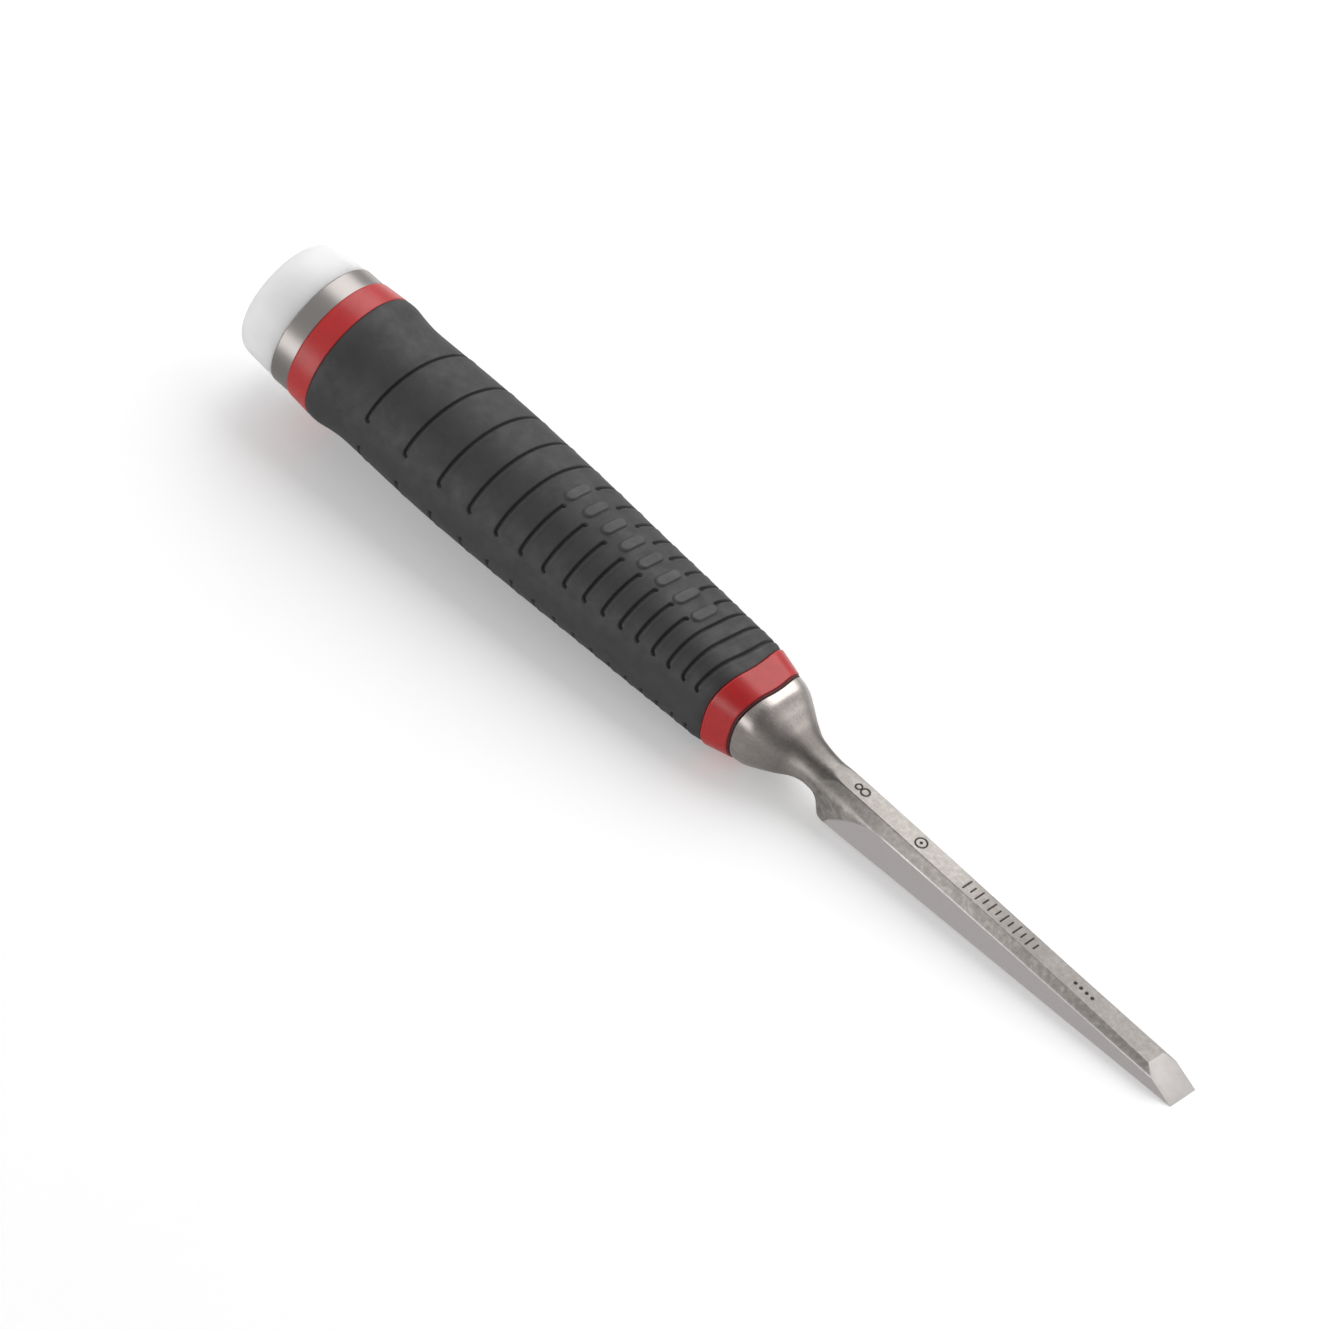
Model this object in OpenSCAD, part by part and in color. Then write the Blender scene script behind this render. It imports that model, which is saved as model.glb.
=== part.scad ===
// Striking chisel with a two-component handle.
// The handle's axis is the X axis: x = 0 is the strike face and +X points to the cutting edge.
// +Z is the side the blade's top face looks to, and the ground back of the blade looks down.

/* [Strike end] */
// Length of the white nylon cap that shows
cap_length = 11.8; // [9:0.1:13]
// Radius of the cap where it meets the hoop
cap_radius = 15.2; // [14.8:0.05:15.3]
// Rounding of the cap's rim
cap_rim = 3.6; // [2:0.1:4]
// Draft of the cap's side, from rim to hoop
cap_draft = 0.6; // [0:0.1:1]
// Width of the steel hoop
hoop_length = 5.2; // [4:0.1:7]
// Outer radius of the steel hoop
hoop_radius = 15.4; // [15.3:0.05:15.6]
// Wall of the steel hoop
hoop_wall = 1.8; // [1.2:0.1:2.2]
// Width of the red band behind the hoop
rear_band_length = 6.2; // [5:0.1:9]
// Thickness of the steel strike plate on the end of the tang
plate_thickness = 4; // [3:0.5:5]
// Radius of the steel strike plate
plate_radius = 11.4; // [10:0.1:11.6]

/* [Grip] */
// Where the black sleeve meets the red front band
grip_end = 140.6; // [138:0.1:143]
// Length of the red front band
front_band_length = 6.5; // [5:0.1:8]
// Radius of the shoulder that stops the hand
shoulder_radius = 16.3; // [16:0.1:17]
// Radius of the waist just behind the shoulder
waist_radius = 15.3; // [14.8:0.1:15.6]
// Radius of the palm swell
swell_radius = 15.9; // [15.4:0.1:16.2]
// Half of the grip across its flats, at the front
grip_front_half = 11.5; // [11:0.1:12]
// Half of the grip across its rounded corners, at the front
grip_front_corner = 13.16; // [12.6:0.02:13.6]
// Thickness of the soft sleeve over the core
sleeve_wall = 2.4; // [2:0.1:3]

/* [Grip grooves] */
// Number of grooves in each panel
groove_count = 16; // [10:1:16]
// Where the first groove lies
groove_first = 40.9; // [36:0.1:42]
// Spacing that the grooves close up to
groove_close = 4; // [3.6:0.1:4]
// Extra spacing after the first groove
groove_spread = 7.8; // [6:0.1:8]
// How fast the extra spacing dies away
groove_ratio = 0.79; // [0.7:0.01:0.8]
// Width of a groove
groove_width = 0.8; // [0.5:0.1:1.2]
// Depth of a groove
groove_depth = 0.7; // [0.4:0.1:1]
// How far round a groove reaches, to each side of the panel's middle
groove_reach = 74; // [60:1:80]
// The same for the grooves nearest the blade
groove_reach_front = 64; // [56:1:80]
// Lean of the grooves, out of square with the handle's axis
groove_lean = 7; // [0:0.5:9]
// Half of the gap, round the middle, that the index bars stand in
index_gap = 18; // [12:1:22]

/* [Index bars] */
// Number of raised bars along the middle of the top panel
index_count = 8; // [5:1:8]
// Where the first bar lies
index_first = 86; // [84:0.5:88]
// Spacing of the bars
index_pitch = 5.6; // [5:0.1:5.7]
// Width of a bar
index_width = 2.6; // [1.5:0.1:3]
// Length of a bar across the grip
index_span = 6; // [4:0.5:7]
// How far a bar stands out of the grip
index_height = 0.4; // [0.2:0.1:0.6]

/* [Bolster and neck] */
// Thickness of the dark washer between the band and the bolster
washer_length = 0.5; // [0.4:0.1:1.2]
// Half of the bolster across its flats
bolster_half = 10; // [9.6:0.1:10.2]
// Rounding of the bolster's corners
bolster_corner = 6.8; // [6:0.1:8]
// Half width of the neck at its narrowest
neck_half = 4.3; // [4.1:0.1:5]
// Depth of the neck's underside below the handle's axis
neck_depth = 4.6; // [4.2:0.1:5]
// Radius of the hollow between the neck and the heel
heel_fillet = 3; // [2:0.1:3.5]
// Rounding of the heel
heel_round = 1.2; // [0.6:0.1:1.6]
// Slope of the heel's front
heel_angle = 65; // [55:1:75]

/* [Blade] */
// Distance from the strike face to the cutting edge
overall_length = 275; // [270:1:280]
// Width of the blade
blade_width = 8; // [8:1:9]
// Angle of the cutting bevel to the ground back
edge_angle = 28; // [25:1:30]
// Angle between the ground back and the handle's axis
back_angle = 3.03; // [2.5:0.01:3.1]
// Height of the cutting edge, below the handle's axis
edge_drop = 3.8; // [3.5:0.05:4]
// Height of the blade's top face at the root
top_root = 3.1; // [2.8:0.1:3.3]
// Height of the blade's top face where it starts to thin faster
top_middle = 2; // [1.8:0.1:2.2]
// Height of the blade's top face where the cutting bevel starts
top_tip = 0.6; // [0.4:0.1:0.8]
// Width of the blade's top face
top_width = 4.7; // [4.4:0.1:5]
// Height of the upper edge of the ground side at the root
side_root = 0; // [-0.5:0.1:0.5]
// Height of the upper edge of the ground side at the cutting bevel
side_tip = -0.5; // [-0.8:0.1:-0.2]

/* [Tang] */
// Radius of the tang through the handle
tang_radius = 4.5; // [4:0.1:5]
// Radius of the tang's threaded end
thread_radius = 4; // [3:0.5:4]
// Across flats of the tang nut
nut_flats = 13; // [12:0.5:13]
// Height of the tang nut
nut_height = 6.5; // [5:0.1:6.5]
// Outer radius of the tang washer
tang_washer_radius = 8; // [7.6:0.1:8.5]
// Thickness of the tang washer
tang_washer_length = 1.6; // [1.2:0.1:2]

/* [Hidden] */
$fn = 96;

// Gap left between pieces that slide together when the tool is put together.
fit_gap = 0.05;
// A cutter runs this far past the face it cuts.
over = 1;

// Planes along the handle.
hoop_end = cap_length + hoop_length;
grip_start = hoop_end + rear_band_length;
band_end = grip_end + front_band_length;
bolster_start = band_end + washer_length;

// The strike end, inside: the hoop holds the cap's skirt and the core's spigot, half of it each.
skirt_radius = hoop_radius - hoop_wall;
core_end = cap_length + hoop_length / 2;
plate_start = core_end - plate_thickness;
// Room left round the nut and the washer in the core's pocket.
pocket_gap = 0.4;
nut_start = core_end + pocket_gap;
nut_end = nut_start + nut_height;
pocket_end = nut_end + tang_washer_length;
pocket_radius = tang_washer_radius + pocket_gap;
thread_runout = 3;
thread_end = pocket_end + thread_runout;
// The rear band flares from the hoop to the grip's shoulder.
band_step = 0.25;
rear_band_radius = shoulder_radius - 0.1;

// Radius of the handle along the sleeve: shoulder, waist, palm swell, then the corners of the front.
grip_curve = [
    [grip_start, rear_band_radius],
    [grip_start + 2.4, shoulder_radius],
    [grip_start + 5.4, (shoulder_radius + waist_radius) / 2 - 0.1],
    [grip_start + 9.2, waist_radius],
    [48, (waist_radius + swell_radius) / 2 + 0.15],
    [61, swell_radius],
    [80, swell_radius - 0.4],
    [102, swell_radius - 1.3],
    [120, grip_front_corner + 0.65],
    [grip_end - 3, grip_front_corner + 0.2],
    [grip_end, grip_front_corner - 0.25]
];
// Half of the handle across its flats: it cuts the round section only towards the front.
flat_curve = [
    [grip_start, shoulder_radius + 1],
    [80, swell_radius + 0.6],
    [102, swell_radius - 0.9],
    [120, grip_front_half + 1.5],
    [grip_end - 3, grip_front_half + 0.25],
    [grip_end, grip_front_half - 0.2]
];
// The front band stands a little proud of the sleeve and tapers to the bolster.
band_corner = function(half, corner) sqrt(2) * (half - corner) + corner;
band_end_half = bolster_half + 0.2;
band_end_corner = band_corner(band_end_half, bolster_corner);

// The neck is narrowest where the blade begins.
neck_end = bolster_start + 17.5;
// Sections of the bolster and the neck: [x, half width, top, bottom, corner radius].
neck_sections = [
    [bolster_start, bolster_half, bolster_half, -bolster_half, bolster_corner],
    [bolster_start + 3, bolster_half - 0.5, bolster_half - 0.6, -bolster_half + 0.3, bolster_corner - 0.2],
    [bolster_start + 6, bolster_half - 1.7, bolster_half - 2.6, -bolster_half + 1.3, bolster_corner - 0.8],
    [bolster_start + 9, neck_half + 2.7, 5.2, -7.5, 4.6],
    [bolster_start + 13, neck_half + 0.9, 3.75, -5.5, 3.4],
    [neck_end, neck_half, top_root, -neck_depth, 2.4],
    [neck_end + 8, blade_width / 2 - 1, top_root - 0.6, -neck_depth, 1.8]
];

// The blade.
half_width = blade_width / 2;
blade_start = neck_end - 0.5;
back_slope = tan(back_angle);
bevel_slope = tan(edge_angle - back_angle);
bevel_start = overall_length - (top_tip + edge_drop) / bevel_slope;
// The top face falls in two straight runs that meet here.
blade_middle = 230;
// Heights along the blade: [x, top face, upper edge of the ground side].
blade_stations = [
    [blade_start, top_root, side_root],
    [blade_middle, top_middle, (side_root + side_tip) / 2],
    [bevel_start, top_tip, side_tip],
    [overall_length, top_tip - 0.3, side_tip]
];

// Height of the ground back at x.
function back_z(x) = -edge_drop - back_slope * (overall_length - x);

// Smooth curve through stations [x, value], with the slopes taken from each station's neighbours.
function slope(s, i) =
    let(a = max(i - 1, 0), b = min(i + 1, len(s) - 1))
    (s[b][1] - s[a][1]) / (s[b][0] - s[a][0]);
function segment(s, x, i = 0) = (i >= len(s) - 2 || x <= s[i + 1][0]) ? i : segment(s, x, i + 1);
function curve(s, x) =
    let(
        i = segment(s, x),
        h = s[i + 1][0] - s[i][0],
        t = (x - s[i][0]) / h
    )
    s[i][1] * (1 + 2 * t) * (1 - t) * (1 - t) + slope(s, i) * h * t * (1 - t) * (1 - t)
    + s[i + 1][1] * t * t * (3 - 2 * t) + slope(s, i + 1) * h * t * t * (t - 1);

// Places of the grooves: the spacing closes up towards the blade.
function groove_x(k) =
    groove_first + groove_close * k + groove_spread * (1 - pow(groove_ratio, k)) / (1 - groove_ratio);

// Points [x, value] of a curve between two planes, moved in by inset.
grip_step = 4;
function sampled(s, x0, x1, inset) =
    let(n = ceil((x1 - x0) / grip_step))
    [for (k = [0 : n]) let(x = x0 + (x1 - x0) * k / n) [x, curve(s, x) - inset]];

// Solid of revolution about the X axis from an outline of [x, radius] points.
module turned(outline) {
    rotate([0, 90, 0])
        rotate_extrude()
            polygon([for (p = outline) [p[1], p[0]]]);
}

// Round bar or ring along the X axis.
module ring(x0, x1, outer, inner = 0) {
    translate([x0, 0, 0])
        rotate([0, 90, 0])
            difference() {
                cylinder(h = x1 - x0, r = outer);
                if (inner > 0)
                    translate([0, 0, -over])
                        cylinder(h = x1 - x0 + 2 * over, r = inner);
            }
}

// Outline in the XZ plane, extruded to both sides of it.
module side_prism(outline, half) {
    rotate([90, 0, 0])
        linear_extrude(height = 2 * half, center = true)
            polygon(outline);
}

// Section in the YZ plane, extruded along +X from x.
module along_x(x, length) {
    translate([x, 0, 0])
        rotate([90, 0, 90])
            linear_extrude(height = length)
                children();
}

// The handle's form between two planes, moved in by inset: a turned form cut by four curved flats.
module grip_form(x0, x1, inset) {
    radii = sampled(grip_curve, x0, x1, inset);
    flats = sampled(flat_curve, x0, x1, inset);
    lower = [for (k = [len(flats) - 1 : -1 : 0]) [flats[k][0], -flats[k][1]]];
    intersection() {
        turned(concat([[x0, 0]], radii, [[x1, 0]]));
        side_prism(concat(flats, lower), 2 * shoulder_radius);
        rotate([90, 0, 0])
            side_prism(concat(flats, lower), 2 * shoulder_radius);
    }
}

// Flat section of the handle at x, moved in by inset.
module grip_section(x, inset) {
    half = curve(flat_curve, x) - inset;
    intersection() {
        circle(r = curve(grip_curve, x) - inset);
        square(2 * half, center = true);
    }
}

// Everything within an angle of the Z axis, above and below the handle's axis.
module double_wedge(angle) {
    far = 2 * shoulder_radius;
    side = far * tan(angle);
    polygon([[0, 0], [side, far], [-side, far]]);
    polygon([[0, 0], [-side, -far], [side, -far]]);
}

// Things placed at x and turned to the grooves' lean.
module leaning(x) {
    translate([x, 0, 0])
        rotate([0, 0, -groove_lean])
            children();
}

// One pair of grooves, above and below, with the middle left standing where the index bars are.
module groove(k) {
    x = groove_x(k);
    x_last_bar = index_first + index_pitch * (index_count - 1);
    interrupted = x > index_first - index_pitch / 2 && x < x_last_bar + index_pitch / 2;
    share = (x - groove_first) / (grip_end - groove_first);
    reach = groove_reach + share * (groove_reach_front - groove_reach);
    leaning(x)
        along_x(-groove_width / 2, groove_width)
            intersection() {
                difference() {
                    circle(r = 2 * shoulder_radius);
                    grip_section(x, groove_depth);
                    if (interrupted)
                        double_wedge(index_gap);
                }
                double_wedge(reach);
            }
}

// Raised bar with round ends on the middle of the top panel. It follows the form of the grip there.
module index_bar(x) {
    straight = index_span - index_width;
    leaning(x)
        intersection() {
            linear_extrude(height = curve(flat_curve, x) + index_height) {
                square([index_width, straight], center = true);
                for (side = [-1, 1])
                    translate([0, side * straight / 2])
                        circle(d = index_width);
            }
            rotate([0, 90, 0])
                cylinder(h = 2 * index_width, r = curve(grip_curve, x) + index_height, center = true);
        }
}

// Rounded rectangle in the YZ plane for the bolster and the neck.
module neck_section(s) {
    for (y = [-1, 1])
        for (z = [s[2] - s[4], s[3] + s[4]])
            translate([y * (s[1] - s[4]), z])
                circle(r = s[4], $fn = 32);
}

// Thin slice of the blade at a station: ground sides with slanted faces up to the top face.
module blade_slice(s) {
    top_half = top_width / 2;
    along_x(s[0], fit_gap)
        polygon([
            [-half_width, back_z(s[0])], [half_width, back_z(s[0])], [half_width, s[2]],
            [top_half, s[1]], [-top_half, s[1]], [-half_width, s[2]]
        ]);
}

module strike_cap() {
    rim_centre = cap_radius - cap_draft - cap_rim;
    rim = [for (a = [0 : 10 : 90]) [cap_rim * (1 - cos(a)), rim_centre + cap_rim * sin(a)]];
    color("whitesmoke")
        difference() {
            union() {
                turned(concat([[0, 0]], rim, [[cap_length, cap_radius], [cap_length, 0]]));
                ring(cap_length - over, core_end, skirt_radius - fit_gap);
            }
            ring(plate_start, core_end + over, plate_radius + fit_gap);
        }
}

module strike_hoop() {
    color("darkgray")
        ring(cap_length, hoop_end, hoop_radius, skirt_radius);
}

module strike_plate() {
    color("dimgray")
        ring(plate_start + fit_gap, core_end, plate_radius);
}

module tang_nut() {
    color("gray")
        translate([nut_start, 0, 0])
            rotate([0, 90, 0])
                difference() {
                    cylinder(h = nut_height, r = nut_flats / sqrt(3), $fn = 6);
                    translate([0, 0, -over])
                        cylinder(h = nut_height + 2 * over, r = thread_radius + fit_gap);
                }
}

module tang_washer() {
    color("silver")
        ring(nut_end, pocket_end, tang_washer_radius, thread_radius + fit_gap);
}

// Red core: spigot under the hoop, rear band, body under the sleeve and the squared front band.
module handle_core() {
    band = [
        [hoop_end, 0], [hoop_end, hoop_radius + band_step],
        [grip_start, rear_band_radius], [grip_start, 0]
    ];
    color("crimson")
        difference() {
            union() {
                ring(core_end, hoop_end + over, skirt_radius - fit_gap);
                turned(band);
                grip_form(grip_start - over, grip_end + over, sleeve_wall);
                intersection() {
                    turned([
                        [grip_end, 0], [grip_end, grip_front_corner],
                        [band_end, band_end_corner], [band_end, 0]
                    ]);
                    front_flats();
                    rotate([90, 0, 0])
                        front_flats();
                }
            }
            ring(core_end - over, band_end + over, tang_radius);
            ring(core_end - over, pocket_end, pocket_radius);
        }
}

// Tapered flats of the front band, as seen from the side.
module front_flats() {
    side_prism([
        [grip_end, -grip_front_half], [band_end, -band_end_half],
        [band_end, band_end_half], [grip_end, grip_front_half]
    ], 2 * shoulder_radius);
}

module grip_sleeve() {
    color("#333333")
        difference() {
            union() {
                grip_form(grip_start, grip_end, 0);
                for (k = [0 : index_count - 1])
                    index_bar(index_first + index_pitch * k);
            }
            grip_form(grip_start - over, grip_end + over, sleeve_wall);
            for (k = [0 : groove_count - 1])
                groove(k);
        }
}

module bolster_washer() {
    half = bolster_half - 0.1;
    radius = band_corner(half, bolster_corner);
    color("#4a1214")
        along_x(band_end, washer_length)
            difference() {
                intersection() {
                    circle(r = radius);
                    square(2 * half, center = true);
                }
                circle(r = tang_radius);
            }
}

// Outline of the heel from the side: the hollow under the neck, a steep front and a rounded corner.
arc_step = 13;
function heel_outline() =
    let(
        turn = 90 - heel_angle,
        cz = -neck_depth - heel_fillet,
        hollow = [
            for (a = [90 : -arc_step : turn])
                [neck_end + heel_fillet * cos(a), cz + heel_fillet * sin(a)]
        ],
        last = hollow[len(hollow) - 1],
        drop = last[1] - back_z(last[0]) - heel_round,
        hx = last[0] + drop / tan(heel_angle) + heel_round * sin(heel_angle),
        hz = back_z(hx) + heel_round,
        corner = [
            for (a = [180 + turn : arc_step : 270])
                [hx + heel_round * cos(a), hz + heel_round * sin(a)]
        ]
    )
    concat(hollow, corner);

module blade_body() {
    heel = heel_outline();
    intersection() {
        union()
            for (k = [0 : len(blade_stations) - 2])
                hull() {
                    blade_slice(blade_stations[k]);
                    blade_slice(blade_stations[k + 1]);
                }
        side_prism(concat(
            [[blade_start, top_root + over], [blade_start, heel[0][1]]],
            heel,
            [
                [overall_length, -edge_drop],
                [bevel_start - over, top_tip + over * bevel_slope],
                [bevel_start - over, top_root + over]
            ]
        ), blade_width);
    }
}

module blade_forging() {
    color("lightslategray")
        union() {
            ring(thread_end, bolster_start + over, tang_radius);
            ring(core_end, thread_end + over, thread_radius);
            for (k = [0 : len(neck_sections) - 2])
                hull() {
                    along_x(neck_sections[k][0], fit_gap)
                        neck_section(neck_sections[k]);
                    along_x(neck_sections[k + 1][0], fit_gap)
                        neck_section(neck_sections[k + 1]);
                }
            blade_body();
        }
}

strike_cap();
strike_hoop();
strike_plate();
tang_nut();
tang_washer();
handle_core();
grip_sleeve();
bolster_washer();
blade_forging();
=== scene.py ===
"""Striking chisel: high-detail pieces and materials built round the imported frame.

The handle's axis is the X axis, from the strike face at x = 0 to the cutting edge. Outlines are worked out
in millimetres and turned to metres when a mesh is made.
"""

import math

import bmesh
import bpy
import numpy as np
from mathutils import Matrix, Vector


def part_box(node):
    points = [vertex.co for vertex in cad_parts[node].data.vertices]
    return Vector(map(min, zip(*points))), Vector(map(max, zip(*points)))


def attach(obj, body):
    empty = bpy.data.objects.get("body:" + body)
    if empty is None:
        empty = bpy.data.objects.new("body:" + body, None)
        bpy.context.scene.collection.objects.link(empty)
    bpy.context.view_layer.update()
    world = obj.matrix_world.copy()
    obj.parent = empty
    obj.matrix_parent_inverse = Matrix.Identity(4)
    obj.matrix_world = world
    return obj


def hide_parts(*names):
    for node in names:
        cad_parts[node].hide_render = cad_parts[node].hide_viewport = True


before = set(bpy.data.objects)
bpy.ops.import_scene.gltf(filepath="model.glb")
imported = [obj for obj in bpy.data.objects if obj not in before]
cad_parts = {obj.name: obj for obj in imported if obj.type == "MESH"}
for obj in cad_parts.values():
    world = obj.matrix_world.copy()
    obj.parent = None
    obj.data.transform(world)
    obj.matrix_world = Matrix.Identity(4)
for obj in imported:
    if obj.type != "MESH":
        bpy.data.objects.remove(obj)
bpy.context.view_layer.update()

MM = 0.001
FULL_TURN = 2 * math.pi


# ---------------------------------------------------------------- planes and sizes from the frame (mm)


def span(node, axis=0):
    """Lowest and highest coordinate of a CAD node along an axis, in millimetres."""
    low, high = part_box(node)
    return low[axis] / MM, high[axis] / MM


HOOP_START, HOOP_END = span("strike_hoop")
HOOP_RADIUS = span("strike_hoop", 1)[1]
PLATE_START, SPIGOT_START = span("strike_plate")
PLATE_RADIUS = span("strike_plate", 1)[1]
POCKET_END = span("tang_washer")[1]
GRIP_START, GRIP_END = span("grip_sleeve")
BAND_END, BOLSTER_START = span("bolster_washer")
TIP = span("blade_forging")[1]

CAP_RADIUS = HOOP_RADIUS - 0.2
CAP_DRAFT = 0.7
CAP_RIM = 3.8
SKIRT_RADIUS = 13.6
POCKET_RADIUS = 8.4
TANG_RADIUS = 4.5
THREAD_RADIUS = 4.0
SLEEVE_WALL = 2.4
# The front band stands proud of the grip, and tapers to its front edge.
BAND_PROUD = 0.28
BAND_FRONT_HALF = 10.2
WASHER_HALF = 9.98

GROOVE_COUNT = 16
GROOVE_FIRST = 40.9
GROOVE_CLOSE = 4.0
GROOVE_SPREAD = 7.85
GROOVE_RATIO = 0.79
GROOVE_HALF_WIDTH = 0.42
GROOVE_DEPTH = 0.8
GROOVE_HOOK = 0.9
GROOVE_REACH_REAR = math.radians(74)
GROOVE_REACH_FRONT = math.radians(64)
INDEX_GAP = math.radians(18)

INDEX_COUNT = 8
INDEX_FIRST = 86.0
INDEX_PITCH = 5.6
INDEX_WIDTH = 2.8
INDEX_SPAN = 6.4
INDEX_HEIGHT = 0.5

BLADE_HALF = 4.0
TOP_HALF = 2.36
BACK_SLOPE = math.tan(math.radians(3.03))
EDGE_Z = -3.8
BEVEL_ANGLE = math.radians(28 - 3.03)
# Length of the blade's end within which the cutting bevel lies.
BEVEL_REACH = 13.0
NECK_END = BOLSTER_START + 17.5
# Where the sides and the back can be ground, from the root on.
GROUND_FROM = 170.0
BACK_FROM = 171.0

# Places of the engraved marks along the blade's top.
NUMERAL_X = 176.0
TARGET_X = 194.0
TICKS_X = 208.0
TICK_PITCH = 1.9
TICK_COUNT = 12
DOTS_X = 241.0
DOT_PITCH = 1.7
DOT_COUNT = 4
MARK_DEPTH = 0.12


# ---------------------------------------------------------------- outlines


def smooth_curve(stations):
    """Smooth function through [x, value] stations. The slope at each comes from its neighbours."""
    xs, vs = np.array(stations, float).T
    slopes = np.empty(len(xs))
    slopes[1:-1] = (vs[2:] - vs[:-2]) / (xs[2:] - xs[:-2])
    slopes[0] = (vs[1] - vs[0]) / (xs[1] - xs[0])
    slopes[-1] = (vs[-1] - vs[-2]) / (xs[-1] - xs[-2])

    def value(x):
        x = np.asarray(x, float)
        i = np.clip(np.searchsorted(xs, x) - 1, 0, len(xs) - 2)
        h = xs[i + 1] - xs[i]
        t = (x - xs[i]) / h
        start = vs[i] * (1 + 2 * t) * (1 - t) ** 2 + slopes[i] * h * t * (1 - t) ** 2
        return start + vs[i + 1] * t * t * (3 - 2 * t) + slopes[i + 1] * h * t * t * (t - 1)

    return value


def smooth_step(low, high, x):
    """0 below low, 1 above high and a smooth rise between them."""
    t = np.clip((np.asarray(x, float) - low) / (high - low), 0, 1)
    return t * t * (3 - 2 * t)


def rounded(points, radii, steps=5, support=0.12):
    """Open outline with each inner corner rounded, and a close pair of points beside each arc."""
    points = [np.array(p, float) for p in points]
    out = [points[0]]
    for before, corner, after, radius in zip(points, points[1:], points[2:], radii):
        u, v = before - corner, after - corner
        reach_u, reach_v = np.linalg.norm(u), np.linalg.norm(v)
        u, v = u / reach_u, v / reach_v
        half = math.acos(np.clip(u @ v, -1, 1)) / 2
        if radius <= 0 or half > math.radians(89):
            out.append(corner)
            continue
        tangent = min(radius / math.tan(half), 0.45 * reach_u, 0.45 * reach_v)
        radius = tangent * math.tan(half)
        centre = corner + (u + v) / np.linalg.norm(u + v) * radius / math.sin(half)
        start, end = corner + u * tangent - centre, corner + v * tangent - centre
        sweep = math.pi - 2 * half
        out.append(centre + start + u * min(support, 0.4 * (reach_u - tangent)))
        for k in range(steps + 1):
            t = k / steps
            arm = math.sin((1 - t) * sweep) * start + math.sin(t * sweep) * end
            out.append(centre + arm / math.sin(sweep))
        out.append(centre + end + v * min(support, 0.4 * (reach_v - tangent)))
    out.append(points[-1])
    return out


def squared_radius(half, corner, angle):
    """Distance from the axis to the edge of a rounded square, in the direction angle."""
    c, s = np.abs(np.cos(angle)), np.abs(np.sin(angle))
    high, low = np.maximum(c, s), np.minimum(c, s)
    core = half - corner
    flat = half / high
    arc = core * (high + low) + np.sqrt(np.maximum(corner**2 - (core * (high - low)) ** 2, 0))
    return np.where(flat * low <= core, flat, arc)


# Half of the grip across its flats along its length: shoulder, waist, palm swell and front.
grip_half = smooth_curve([
    [GRIP_START, 16.1], [GRIP_START + 2.4, 16.18], [GRIP_START + 5.4, 15.7], [GRIP_START + 9.2, 15.32],
    [38, 15.42], [48, 15.75], [61, 15.9], [80, 15.5], [91, 15.12], [102, 14.58], [110, 13.95],
    [120, 13.05], [130, 12.2], [GRIP_END - 3, 11.7], [GRIP_END, 11.3],
])
# How far the grooves lean: metres along the grip for each metre across it.
groove_lean = smooth_curve([
    [GRIP_START, 0.0], [28, 0.03], [38, 0.14], [50, 0.15], [70, 0.125], [90, 0.11], [150, 0.11],
])
# The edges of the front band run further forward above and below than at the sides.
EDGE_WAVE = 1.0
# Rounding of the grip's corners, as a share of its half width: 1 is a circle.
grip_roundness = smooth_curve([
    [GRIP_START, 1.0], [95, 1.0], [103, 0.985], [112, 0.91], [122, 0.8], [132, 0.71], [GRIP_END, 0.66],
    [BAND_END, 0.67],
])


def section_ring(x, half, roundness, count, wave=0.0):
    """Ring of points round the axis at x, on a rounded square. It starts at +Y and goes to +Z."""
    angle = np.arange(count) * FULL_TURN / count
    radius = squared_radius(half, half * roundness, angle)
    return np.stack([x - wave * np.cos(2 * angle), radius * np.cos(angle), radius * np.sin(angle)], axis=1)


# ---------------------------------------------------------------- meshes


def make_piece(name, vertices, faces, sharp_angle=35):
    """Mesh object from points in millimetres, with coincident points joined and normals facing out."""
    mesh = bpy.data.meshes.new(name)
    mesh.from_pydata((np.asarray(vertices) * MM).tolist(), [], faces)
    work = bmesh.new()
    work.from_mesh(mesh)
    bmesh.ops.remove_doubles(work, verts=work.verts, dist=1e-7)
    bmesh.ops.recalc_face_normals(work, faces=work.faces)
    work.to_mesh(mesh)
    work.free()
    mesh.shade_smooth()
    mesh.set_sharp_from_angle(angle=math.radians(sharp_angle))
    piece = bpy.data.objects.new(name, mesh)
    bpy.context.scene.collection.objects.link(piece)
    return piece


def ring_faces(rows, columns, closed):
    """Quads between neighbouring rings. Closed joins the last ring to the first."""
    faces = []
    for i in range(rows if closed else rows - 1):
        j = (i + 1) % rows
        for k in range(columns):
            n = (k + 1) % columns
            faces.append((i * columns + k, i * columns + n, j * columns + n, j * columns + k))
    return faces


def loft(name, rings, closed=False, sharp_angle=35):
    """Piece through rings of points. Closed makes a tube wall, and otherwise the end rings are points."""
    rings = np.asarray(rings, float)
    rows, columns = rings.shape[:2]
    return make_piece(name, rings.reshape(-1, 3), ring_faces(rows, columns, closed), sharp_angle)


def finish_piece(piece, node, slot, *materials):
    """Puts a piece on the tool's body in place of a CAD node, with its materials."""
    piece.data.materials.clear()
    for material in materials:
        piece.data.materials.append(material)
    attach(piece, "root")
    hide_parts(node)
    return piece


# ---------------------------------------------------------------- strike end


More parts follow.
